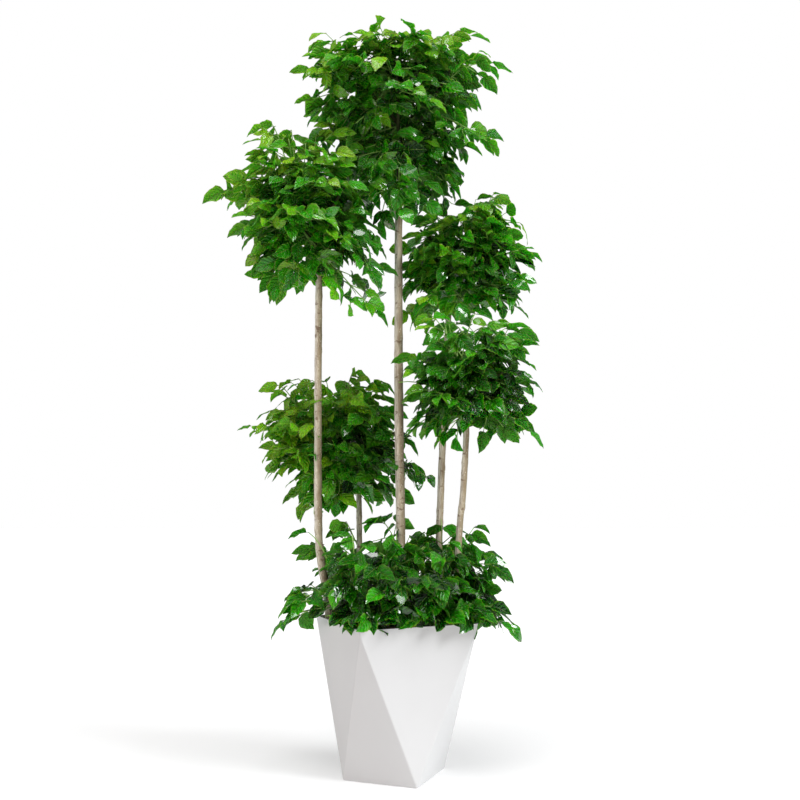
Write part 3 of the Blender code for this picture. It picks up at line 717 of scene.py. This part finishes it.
def make_soil(material):
    """A rough bed cut to the planter's inside, with loose crumbs on it."""
    bm = bmesh.new()
    bmesh.ops.create_grid(bm, x_segments=SOIL_CELLS, y_segments=SOIL_CELLS, size=SOIL_GRID)
    wall = planter_form(POT_RIM_SIDE - 2 * POT_WALL, POT_BASE_SIDE - 2 * POT_WALL, POT_FLOOR, POT_HEIGHT)
    wall.normal_update()
    bmesh.ops.translate(bm, verts=bm.verts, vec=(0, 0, SOIL_TOP))
    for side in [face for face in wall.faces if abs(face.normal.z) < SIDE_SLOPE]:
        inset = side.verts[0].co - side.normal * SOIL_CLEARANCE
        bmesh.ops.bisect_plane(bm, geom=bm.verts[:] + bm.edges[:] + bm.faces[:], dist=WELD, plane_co=inset,
                               plane_no=side.normal, clear_outer=True)
    wall.free()
    for vert in bm.verts:
        vert.co.z = soil_height(vert.co.x, vert.co.y)
    outline = [edge for edge in bm.edges if edge.is_boundary]
    skirt = bmesh.ops.extrude_edge_only(bm, edges=outline)["geom"]
    hem = [item for item in skirt if isinstance(item, bmesh.types.BMVert)]
    for vert in hem:
        vert.co.x *= SOIL_NARROWING
        vert.co.y *= SOIL_NARROWING
        vert.co.z = SOIL_TOP - SOIL_DEPTH
    bmesh.ops.holes_fill(bm, edges=[edge for edge in bm.edges if edge.is_boundary])
    draw = random.Random(SOIL_SEED)
    for _ in range(SOIL_CRUMBS):
        angle = draw.uniform(0, 2 * math.pi)
        away = CRUMB_SPREAD * math.sqrt(draw.random())
        x, y = away * math.cos(angle), away * math.sin(angle)
        size = draw.uniform(*CRUMB_SIZE)
        turn = Matrix.Rotation(draw.uniform(0, CRUMB_TURN), 4, draw.choice("XYZ"))
        stretch = Matrix.Diagonal((draw.uniform(*CRUMB_LENGTH), 1.0, draw.uniform(*CRUMB_HEIGHT), 1.0))
        place = Matrix.Translation((x, y, soil_height(x, y) + size * CRUMB_LIFT)) @ turn @ stretch
        bmesh.ops.create_icosphere(bm, subdivisions=1, radius=size, matrix=place)
    bmesh.ops.recalc_face_normals(bm, faces=bm.faces)
    finished_piece("soil_bed", mesh_from(bm, "soil_bed"), material, "soil", "soil")


# Stems

def smooth_route(points, steps):
    """Points on a smooth curve through the given ones."""
    ends = [points[0] * 2 - points[1]] + points + [points[-1] * 2 - points[-2]]
    route = []
    for before, start, end, after in zip(ends, ends[1:], ends[2:], ends[3:]):
        for step in range(steps):
            t = step / steps
            route.append(0.5 * ((2 * start) + (end - before) * t
                                + (2 * before - 5 * start + 4 * end - after) * t ** 2
                                + (3 * start - before - 3 * end + after) * t ** 3))
    return route + [points[-1]]


def stem_route(stem, steps):
    """A stem's way from its buried foot, out of the soil and up to its fork."""
    foot = Vector((*stem.route[0], SOIL_TOP + SOIL_HEAP))
    above = [foot] + [Vector(point) for point in stem.route[1:]]
    return [Vector(stem.buried)] + smooth_route(above, steps)


SIGHT_ROUTES = {stem.name: smooth_route([Vector(point) for point in stem.route[1:]], SIGHT_SMOOTHING)
                for stem in STEMS}


def fork_of(name):
    """The end of a stem's route, and its direction there."""
    route = stem_route(next(stem for stem in STEMS if stem.name == name), FORK_SMOOTHING)
    return route[-1], (route[-1] - route[-2]).normalized()


def resampled(points, step):
    """Points an even step apart along a route."""
    spaced = [points[0]]
    for start, end in zip(points, points[1:]):
        count = max(1, round((end - start).length / step))
        spaced += [start.lerp(end, number / count) for number in range(1, count + 1)]
    return spaced


def stem_knots(stem, draw):
    """Leaf scars up the stem as (height, side, size), each turned round the stem from the last."""
    knots = []
    height = SOIL_TOP + KNOT_FIRST
    side = draw.uniform(0, 2 * math.pi)
    while height < stem.route[-1][2]:
        knots.append((height, side, draw.uniform(*KNOT_SIZES)))
        height += KNOT_SPACING * draw.uniform(*KNOT_GAPS)
        side += math.radians(draw.uniform(*KNOT_TURNS))
    return knots


def make_stem(stem, number, material):
    """A stem with slight waves, swellings under its leaf scars and a fine uneven surface."""
    draw = random.Random(STEM_SEED + number)
    knots = stem_knots(stem, draw)
    route = resampled(stem_route(stem, STEM_SMOOTHING), STEM_STEP)
    shares = [max(0.0, point.z - SOIL_TOP) / (route[-1].z - SOIL_TOP) for point in route]
    swell = STEM_SWELL.get(stem.name, 0.0)
    radii = [stem.foot_radius + (stem.top_radius - stem.foot_radius) * share
             + swell * math.sin(math.pi * share) for share in shares]
    mesh = tube_mesh(stem.name + "_wood", [list(zip(route, radii))], resolution=STEM_SIDES // 2 - 2)
    lookup = np.array([tuple(point) for point in route])
    # Each point's side: how far the bark faces the painted light, raised for stems given more painted light
    painted_light_sides = mesh.attributes.new("side", "FLOAT", "POINT")
    for vert in mesh.vertices:
        nearest = Vector(lookup[np.argmin(((lookup - np.array(vert.co)) ** 2).sum(axis=1))])
        away = vert.co - nearest
        if away.length < STEM_AXIS:
            continue
        outward = away.normalized()
        side = math.atan2(outward.y, outward.x)
        grain = Vector((vert.co.x * BARK_ACROSS, vert.co.y * BARK_ACROSS, vert.co.z * BARK_ALONG))
        rise = noise.noise(grain) * BARK_RELIEF
        for height, facing, size in knots:
            gap = abs(vert.co.z - height)
            if gap < KNOT_RANGE:
                turn = math.cos(side - facing)
                collar = math.exp(-(gap / KNOT_LENGTH) ** 2)
                facing_share = KNOT_ALL_ROUND + (1.0 - KNOT_ALL_ROUND) * max(0.0, turn) ** 3
                rise += KNOT_HEIGHT * size * collar * facing_share
        vert.co += outward * rise
        painted_light_sides.data[vert.index].value = outward.dot(PAINTED_LIGHT_SIDE) + STEM_PAINTED_LIGHT.get(stem.name, 0.0)
    finished_piece(stem.name + "_wood", mesh, material, "bark", stem.name)


# The growing rule, as in the part's source

def arch(start, bend, end, share):
    return start * (1 - share) ** 2 + bend * 2 * share * (1 - share) + end * share ** 2


def arch_bend(start, end, rise):
    """The middle knot of a leaf's arch: it leaves steeply, leans outwards and ends drooping."""
    chord = end - start
    flat = Vector((chord.x, chord.y, 0.0))
    lift = rise * (LIFT_BY_LENGTH * chord.length + LIFT_BY_REACH * flat.length)
    return start + flat * LEAF_LEAN + UP * (chord.z * LEAF_CLIMB + lift)


def arch_direction(start, bend, end, share):
    return ((bend - start) * (1 - share) + (end - bend) * share).normalized()


def leaf_target(crown, index, draw):
    """Where a leaf's tip goes: first the tips that stand out, then golden-angle places over the form."""
    centre = Vector(crown.centre)
    if index < len(crown.tips):
        tip = Vector(crown.tips[index])
        return tip, math.atan2(tip.y - centre.y, tip.x - centre.x)
    index -= len(crown.tips)
    wide, deep, high, low = crown.reach
    share = (index + 0.5) / crown.leaves
    upper = (high + wide) / (high + low + 2.0 * wide)
    if share < upper:
        height, scale, power = HIGHEST * (1.0 - share / upper), high, crown.powers[0]
    else:
        height = math.cos(math.radians(crown.lowest)) * (share - upper) / (1.0 - upper)
        scale, power = low, crown.powers[1]
    azimuth = index * GOLDEN_ANGLE + crown.seed + draw.uniform(-LEAF_JITTER, LEAF_JITTER)
    flat = (1.0 - abs(height) ** power) ** (1.0 / power)
    fill = draw.uniform(*LEAF_FILL)
    rise = height * scale
    across = math.cos(azimuth) * flat * wide + crown.lean * min(rise, 0.0)
    return centre + Vector((across, math.sin(azimuth) * flat * deep, rise)) * fill, azimuth


def draw_leaf(crown, index, knots):
    """One leaf of a head as (attach point, tip, azimuth, roll, rise)."""
    draw = random.Random(crown.seed * HEAD_SEEDS + index * LEAF_SEEDS)
    target, azimuth = leaf_target(crown, index, draw)
    target.z = min(target.z, CAMERA_AT[2] + TOP_SLOPE * (target.y - CAMERA_AT[1]))
    inward = (Vector(crown.centre) - target).normalized()
    wanted = target + inward * LEAF_SPAN - UP * LEAF_SPAN * draw.uniform(0.0, LEAF_SINK)
    attach = min(knots, key=lambda knot: (knot - wanted).length
                 + SHORT_PENALTY * max(0.0, LEAF_SPAN_MIN - (knot - target).length))
    return attach, target, azimuth, draw.uniform(-LEAF_ROLL, LEAF_ROLL), draw.uniform(*LEAF_ARCH)


def limb_routes(crown):
    """The leader from the fork up through the head, and the limbs that leave it."""
    end, along = fork_of(crown.stem)
    fork = end + along * GAP
    centre = Vector(crown.centre)
    wide, deep, high, _ = crown.reach
    crest = centre + UP * high * LEADER_REACH
    bend = Vector((fork.x, fork.y, (fork.z + crest.z) / 2))
    leader = [fork, fork + along * LEADER_FOOT]
    leader += [arch(fork, bend, crest, step / LEADER_STEPS) for step in range(1, LEADER_STEPS + 1)]
    limbs = []
    for index in range(crown.limbs):
        azimuth = index * 2 * math.pi / crown.limbs + crown.seed
        start = arch(fork, bend, crest, LIMB_FIRST + LIMB_RANGE * index / crown.limbs)
        lift = LIMB_LIFTS[index % len(LIMB_LIFTS)]
        out = Vector((math.cos(azimuth) * wide, math.sin(azimuth) * deep, 0.0)) * LIMB_REACH
        end = centre + out + UP * high * lift
        elbow = start + (end - start) * 0.5 + UP * LIMB_ARCH
        limbs.append([arch(start, elbow, end, step / LIMB_STEPS) for step in range(LIMB_STEPS + 1)])
    return leader, limbs


def knots_along(route, skip):
    """Places where a leaf can grow: the route's points and the middles between them, past its foot."""
    middles = [(start + end) / 2 for start, end in zip(route, route[1:])]
    return sorted(route + middles, key=lambda point: (point - route[0]).length)[skip:]


# Blades

def blade_half_width(share):
    """Half the blade's width along its length: a thin foot, a round ovate body and a drip tip."""
    if share <= BLADE_FOOT:
        return FOOT_WIDTH
    body = ((share - BLADE_FOOT) / (1.0 - BLADE_FOOT)) ** BLADE_FULLNESS
    roundness = FOOT_ROUNDNESS if body < 0.5 else TIP_ROUNDNESS
    return max(BLADE_WIDTH * abs(math.sin(math.pi * body)) ** roundness, TIP_WIDTH)


def blade_template(number):
    """A blade one unit long on +Y: folded along its rib, arched, wavy, and closed round its thin edge."""
    draw = random.Random(BLADE_SEED + number)
    fold = draw.uniform(*BLADE_FOLD)
    bend = draw.uniform(*BLADE_BEND)
    twist = draw.uniform(-BLADE_TWIST, BLADE_TWIST)
    waves = draw.uniform(*BLADE_WAVES)
    wave_phase = draw.uniform(0, 2 * math.pi)
    bm = bmesh.new()
    bm.loops.layers.uv.new("blade")
    rows = len(BLADE_STATIONS) - 1
    bmesh.ops.create_grid(bm, x_segments=BLADE_COLUMNS, y_segments=rows, size=0.5, calc_uvs=True)
    tint = bm.verts.layers.float_color.new("tint")
    for vert in bm.verts:
        side = vert.co.x * 2.0
        row = round((vert.co.y + 0.5) * rows)
        share = BLADE_STATIONS[row]
        tooth = 1.0 + BLADE_TEETH * (1 if row % 2 else -1) * abs(side)
        reach = side * blade_half_width(share) * tooth
        lift = abs(reach) * math.tan(fold) - BLADE_CUP * reach * reach
        wave = math.sin(waves * 2 * math.pi * share + wave_phase) if share < RIPPLE_END else 0.0
        ripple = BLADE_RIPPLE * side * side * wave
        turned = Matrix.Rotation(twist * share, 3, "Y") @ Vector((reach, 0.0, lift + ripple))
        arched = bend * share
        run = math.sin(arched) / bend
        drop = (1.0 - math.cos(arched)) / bend
        vert.co = Vector((turned.x, run, turned.z * math.cos(arched) - drop))
        vert[tint] = (0.5, 0.5, 0.0, 1.0)
    upper = bm.faces[:]
    copy = bmesh.ops.duplicate(bm, geom=upper)["geom"]
    lower = [item for item in copy if isinstance(item, bmesh.types.BMFace)]
    bmesh.ops.reverse_faces(bm, faces=lower)
    for vert in {vert for face in lower for vert in face.verts}:
        vert[tint] = (0.5, 0.5, 1.0, 1.0)
        if not vert.is_boundary:
            vert.co.z -= BLADE_THICKNESS
    bmesh.ops.remove_doubles(bm, verts=bm.verts, dist=BLADE_WELD)
    bmesh.ops.recalc_face_normals(bm, faces=bm.faces)
    for edge in bm.edges:
        edge.smooth = edge.calc_face_angle(0.0) < BLADE_EDGE
    return mesh_from(bm, "blade_%d" % number)


def stamp_blade(group, template, place, own, age_and_light):
    """Add a copy of a blade at its place, coloured by its own draw and by its age and painted light."""
    blade = template.copy()
    blade.transform(place)
    colours = np.empty(len(blade.vertices) * 4, dtype=np.float32)
    tint = blade.attributes["tint"].data
    tint.foreach_get("color", colours)
    colours[0::4] = own
    colours[1::4] = age_and_light
    tint.foreach_set("color", colours)
    group.from_mesh(blade)
    bpy.data.meshes.remove(blade)


def blade_place(base, along, outward, length, draw):
    """The matrix that hangs a blade from its base, its tip along a direction and its face outward."""
    droop = draw.uniform(*BLADE_DROOP) + BLADE_FLATTEN * max(0.0, along.z)
    sway = Vector([draw.gauss(0, BLADE_SWAY) for _ in range(3)])
    along = (along - UP * droop + sway).normalized()
    face = (outward - along * outward.dot(along)).normalized()
    face = Matrix.Rotation(draw.gauss(0, BLADE_ROLL), 3, along) @ face
    across = along.cross(face)
    width = length * draw.uniform(*BLADE_WIDENING)
    turned = Matrix((across * width, along * length, face * length)).transposed().to_4x4()
    return Matrix.Translation(base) @ turned


# Compound leaves

def grow_leaf(leaf, crown, draw, blades, stalks):
    """A twice-divided leaf: an arched stalk with two pairs of side branches, each with its leaflets."""
    attach, target, azimuth, roll, rise = leaf
    span = (target - attach).length
    length = min(max(span * LEAFLET_SHARE, LEAFLET_MIN), LEAFLET_MAX, span / 2)
    bend = arch_bend(attach, target, rise)
    side = Vector((-math.sin(azimuth), math.cos(azimuth), 0.0))
    centre = Vector(crown.centre)
    high, low = crown.reach[2:]

    def station(distance):
        """A point on the stalk, with its direction, the way to its side and the way its face looks."""
        share = distance / span
        along = arch_direction(attach, bend, target, share)
        level = (side - along * side.dot(along)).normalized()
        turn = Matrix.Rotation(roll, 3, along)
        return arch(attach, bend, target, share), along, turn @ level, turn @ along.cross(level)

    def blade(base, along, normal):
        """A leaflet, unless it would be in the way."""
        reach = along * BLADE_REACH * crown.blade - UP * RIM_DROOP
        if any(in_the_way(base + reach * share) for share in (0.0, 0.5, 1.0)):
            return
        radial = base - centre
        level = max(-1.0, min(1.0, radial.z / (high if radial.z > 0 else low)))
        radial.z = 0.0
        outward = (normal * FACE_BY_STALK + UP * (FACE_UP[0] + FACE_UP[1] * level)
                   + radial.normalized() * (FACE_OUT[0] - FACE_OUT[1] * level))
        group, templates, ages_and_light = blades
        along = along + radial.normalized() * BLADE_OUTWARD
        place = blade_place(base, along, outward, draw.uniform(*BLADE_LENGTH) * crown.blade, draw)
        stamp_blade(group, draw.choice(templates), place, draw.random(), ages_and_light(base, draw))

    def spread_of(along, level, hand):
        """The direction of a branch or leaflet on one hand of its stalk."""
        return along * math.cos(BRANCH_SPREAD) + level * hand * math.sin(BRANCH_SPREAD)

    def branch(foot, along, normal, reach):
        """A side branch with a pair of leaflets and one at its end."""
        across = along.cross(normal).normalized()
        end = foot + along * reach - UP * BRANCH_DROOP * reach
        middle = foot + along * reach * BRANCH_ELBOW - UP * BRANCH_DROOP * reach * BRANCH_ELBOW_DROOP
        if in_the_way(end) or in_the_way(middle):
            return
        thick, thin = (BRANCH_RADIUS * taper for taper in BRANCH_TAPER)
        stalks.append([(foot, thick), (middle, BRANCH_RADIUS), (end, thin)])
        for hand in (1, -1):
            blade(foot.lerp(end, BRANCH_PAIR_AT), spread_of(along, across, hand), normal)
        blade(end, along, normal)

    tail = span - BLADE_REACH
    steps = STALK_STEPS
    stalks.append([(station(tail * step / steps)[0], STALK_FOOT + (STALK_TIP - STALK_FOOT) * step / steps)
                   for step in range(steps + 1)])
    for back in PAIR_AT:
        foot, along, level, normal = station(span - length * back)
        for hand in (1, -1):
            branch(foot, spread_of(along, level, hand), normal, length * BRANCH_SHARE)
    foot, along, level, normal = station(span - length * TIP_PAIR_AT)
    for hand in (1, -1):
        blade(foot, spread_of(along, level, hand), normal)
    foot, along, level, normal = station(tail)
    blade(foot, along, normal)


def in_the_way(point):
    """Whether a point would hide the planter's front or the part of a stem that stays in sight."""
    if point.z < RIM_CLEAR and point.y < 0.0 and RIM_SPAN[0] < point.x < RIM_SPAN[1]:
        return True
    if point.z < CORNER_CLEAR and point.y < CORNER_FRONT and CORNER_SPAN[0] < point.x < CORNER_SPAN[1]:
        return True
    for name, low, high in IN_SIGHT:
        if not low < point.z < high:
            continue
        spot = min(SIGHT_ROUTES[name], key=lambda place: abs(place.z - point.z))
        slope = (spot.x - CAMERA_AT[0]) / (spot.y - CAMERA_AT[1])
        aside = abs(point.x - CAMERA_AT[0] - slope * (point.y - CAMERA_AT[1]))
        if point.y < spot.y and aside < SIGHT_MARGIN:
            return True
    return False


def age_and_light_rule(crown):
    """Leaflets are younger and lighter towards the head's top and outside, by age and painted light, lighter
    towards its left by painted light, and darker further in by age and painted shade.
    """
    centre = Vector(crown.centre)
    wide, deep, high, low = crown.reach

    def age_and_light(point, draw):
        offset = point - centre
        height = offset.z / (high if offset.z > 0 else low)
        out = Vector((offset.x / wide, offset.y / deep, height)).length
        # Painted light from above and from the left, and painted shade deeper in the head, on top of the
        # leaflets' age
        shade = crown.tone + crown.upward * height - crown.leftward * offset.x / wide
        shade += AGE_AND_SHADE_BY_DEPTH * (min(out, 1.0) - AGE_AND_SHADE_DEPTH)
        return min(1.0, max(0.0, shade + draw.gauss(0, AGE_SPREAD)))

    return age_and_light


def inner_crown(crown, layer):
    """A head of the same rule drawn further in, whose leaves close the gaps."""
    return crown._replace(leaves=crown.fillers // len(FILLER_REACHES), seed=crown.seed + FILLER_SEED + layer,
                          tips=(), reach=tuple(reach * FILLER_REACHES[layer] for reach in crown.reach))


def make_crown(crown, templates, finishes):
    """One head as three pieces: its leaflets, their stalks and the wood inside."""
    leader, limbs = limb_routes(crown)
    knots = [knot for limb in limbs for knot in knots_along(limb, LIMB_BARE)]
    knots += knots_along(leader, LEADER_BARE)
    group = bmesh.new()
    stalks = []
    blades = (group, templates, age_and_light_rule(crown))
    draw = random.Random(crown.seed * DRAW_SEEDS)
    for layer in [crown] + [inner_crown(crown, number) for number in range(len(FILLER_REACHES))]:
        for index in range(len(layer.tips) + layer.leaves):
            grow_leaf(draw_leaf(layer, index, knots), crown, draw, blades, stalks)
    finished_piece(crown.name + "_leaves", mesh_from(group, crown.name), finishes["leaf"], "leaf", crown.name)
    name = crown.name + "_stalks"
    finished_piece(name, tube_mesh(name, stalks, resolution=0), finishes["stalk"], "leaf")
    woody = [smooth_route(route, LIMB_SMOOTHING) for route in [leader] + limbs]
    bars = [[(point, LIMB_FOOT + (LIMB_TIP - LIMB_FOOT) * step / (len(route) - 1))
             for step, point in enumerate(route)] for route in woody]
    name = crown.name + "_limbs"
    finished_piece(name, tube_mesh(name, bars, resolution=2), finishes["limb"], "bark")


def shoot_route(shoot):
    """A low shoot's way from its buried foot to its top."""
    (foot_x, foot_y), top = shoot
    foot = Vector((foot_x, foot_y, SOIL_TOP + SOIL_HEAP))
    top = Vector(top)
    elbow = Vector((foot.x, foot.y, (foot.z + top.z) / 2))
    return ([foot - UP * SHOOT_BURIED]
            + [arch(foot, elbow, top, step / SHOOT_STEPS) for step in range(SHOOT_STEPS + 1)])


def make_shoots(templates, finishes):
    """The bush: each leaf grows from a near shoot, and each shoot has pieces of its own."""
    routes = [shoot_route(shoot) for shoot in SHOOTS]
    groups = [bmesh.new() for _ in routes]
    stalks = [[] for _ in routes]
    counts = [0] * len(routes)
    age_and_light = age_and_light_rule(BUSH)
    draw = random.Random(BUSH.seed)
    for bush in [BUSH] + [inner_crown(BUSH, number) for number in range(len(FILLER_REACHES))]:
        for index in range(len(bush.tips) + bush.leaves):
            target, _ = leaf_target(bush, index, random.Random(bush.seed))
            owner = min(range(len(routes)), key=lambda number: (routes[number][-1] - target).length
                        + SHOOT_SHARING * counts[number])
            counts[owner] += 1
            knots = routes[owner][3:] + [(routes[owner][2] + routes[owner][3]) / 2]
            blades = (groups[owner], templates, age_and_light)
            grow_leaf(draw_leaf(bush, index, knots), BUSH, draw, blades, stalks[owner])
    for number, (route, group, twigs) in enumerate(zip(routes, groups, stalks), 1):
        name = "%s_%d" % (BUSH.name, number)
        twigs.append([(point, SHOOT_RADIUS) for point in smooth_route(route, SHOOT_SMOOTHING)])
        finished_piece(name + "_leaves", mesh_from(group, name), finishes["leaf"], "leaf", name)
        name += "_stalks"
        finished_piece(name, tube_mesh(name, twigs, resolution=1), finishes["stalk"], "leaf")


# Stage

def make_floor():
    bm = bmesh.new()
    bmesh.ops.create_grid(bm, x_segments=4, y_segments=4, size=FLOOR_REACH)
    floor = placed("floor", mesh_from(bm, "floor"))
    floor.data.materials.append(floor_finish())


def make_sun(name, direction, strength, spread, colour=(1.0, 1.0, 1.0)):
    light = bpy.data.lights.new(name, "SUN")
    light.energy = strength
    light.color = colour
    light.angle = spread
    lamp = placed(name, light)
    lamp.rotation_euler = Vector(direction).to_track_quat("-Z", "Y").to_euler()


def light_stage():
    """White all round for the camera, with a dimmer room for the light that it gives."""
    world = bpy.data.worlds.new("studio")
    world.use_nodes = True
    background = world.node_tree.nodes["Background"]
    background.inputs["Color"].default_value = (1.0, 1.0, 1.0, 1.0)
    path = world.node_tree.nodes.new("ShaderNodeLightPath")
    level = Value(world.node_tree, path.outputs["Is Camera Ray"]) * (1.0 - ROOM_LIGHT) + ROOM_LIGHT
    feed(world.node_tree, level, background.inputs["Strength"])
    bpy.context.scene.world = world
    make_sun("key", KEY_DIRECTION, KEY_STRENGTH, KEY_SPREAD, KEY_COLOUR)
    make_sun("overhead", OVERHEAD_DIRECTION, OVERHEAD_STRENGTH, OVERHEAD_SPREAD)
    make_sun("fill", FILL_DIRECTION, FILL_STRENGTH, FILL_SPREAD, FILL_COLOUR)
    bpy.context.scene.view_settings.view_transform = "Standard"


def make_camera():
    lens = bpy.data.cameras.new("camera")
    lens.lens = CAMERA_LENS
    lens.sensor_width = SENSOR
    camera = placed("camera", lens)
    camera.location = CAMERA_AT
    camera.rotation_euler = (math.radians(90) + CAMERA_TILT, 0.0, 0.0)
    bpy.context.scene.camera = camera


def build():
    finishes = {"leaf": leaf_finish(), "stalk": stalk_finish(), "limb": limb_finish()}
    bark = bark_finish()
    make_planter(planter_finish())
    make_soil(soil_finish())
    for number, stem in enumerate(STEMS):
        make_stem(stem, number, bark)
    templates = [blade_template(number) for number in range(BLADE_VARIANTS)]
    for crown in CROWNS:
        make_crown(crown, templates, finishes)
    make_shoots(templates, finishes)
    for template in templates:
        bpy.data.meshes.remove(template)


make_camera()
make_floor()
light_stage()
build()
